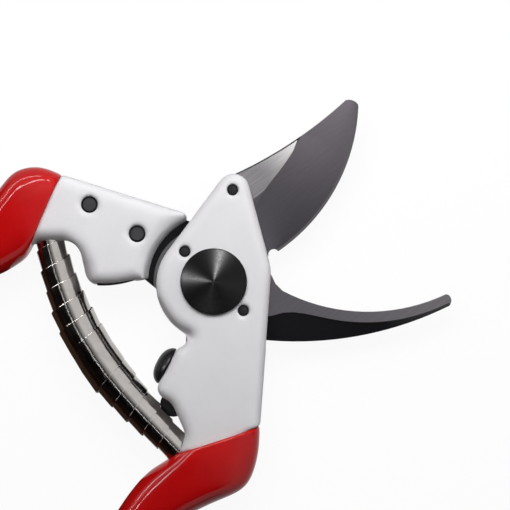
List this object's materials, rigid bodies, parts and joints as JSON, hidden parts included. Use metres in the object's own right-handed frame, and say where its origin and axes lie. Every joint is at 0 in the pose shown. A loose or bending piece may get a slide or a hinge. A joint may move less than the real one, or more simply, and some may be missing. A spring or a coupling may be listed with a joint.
{
  "type": "pruning shears",
  "caption": "Bypass pruning shears with forged light-alloy handles, dipped red grips, hollow-ground blade, hooked counter blade and a volute spring, open.",
  "frame": {"origin": "on the pivot axis, at the closed back face of the pivot nut, in the plane that the shears lie on", "axes": "+Z out of the front along the pivot axis, +X from the pivot towards the jaws along the middle of the open shears, +Y towards the hook handle"},
  "size_m": [0.1887, 0.1677, 0.0198],
  "materials": {
    "forging": "forged, shot-blasted and clear-coated, satin",
    "grip": "hot-dipped red PVC, glossy",
    "hook_steel": "ground flat, blackened bevel",
    "blade_steel": "hollow ground, brushed",
    "rivet": "blackened steel",
    "black_steel": "turned, blackened",
    "plated": "zinc plated",
    "spring_steel": "nickel plated strip",
    "bronze": "turned bronze",
    "rubber": "moulded rubber"
  },
  "bodies": {
    "hook_side": {"hook_handle": "forging", "hook_handle_grip": "grip", "hook_blade": "hook_steel", "hook_rivet_1": "rivet", "hook_rivet_2": "rivet", "stop_pad": "rubber", "spring_peg_1": "plated", "pivot_bolt": "black_steel", "pivot_nut": "plated", "pivot_washer": "plated", "lock_segment": "plated", "lock_screw": "plated", "latch_pin": "plated", "volute_spring": "spring_steel"},
    "blade_side": {"blade_handle": "forging", "blade_handle_grip": "grip", "cutting_blade": "blade_steel", "blade_pin_1": "black_steel", "blade_pin_2": "black_steel", "blade_pin_3": "black_steel", "pivot_bushing": "bronze", "bumper": "rubber", "spring_peg_2": "plated", "latch_rivet": "plated"},
    "latch": {"latch_lever": "black_steel"}
  },
  "joints": [
    {"name": "jaws_close", "type": "hinge", "parent": "hook_side", "child": "blade_side", "pos_m": [0, 0, 0.009], "axis": [0, 0, -1], "range_deg": [0, 54], "stiffness_Nm_per_rad": 1.2, "springref_deg": -20.05, "deforming": ["volute_spring"]},
    {"name": "latch_turn", "type": "hinge", "parent": "blade_side", "child": "latch", "pos_m": [-0.01997, -0.02028, 0.0015], "axis": [0, 0, 1], "range_deg": [0, 50]}
  ]
}
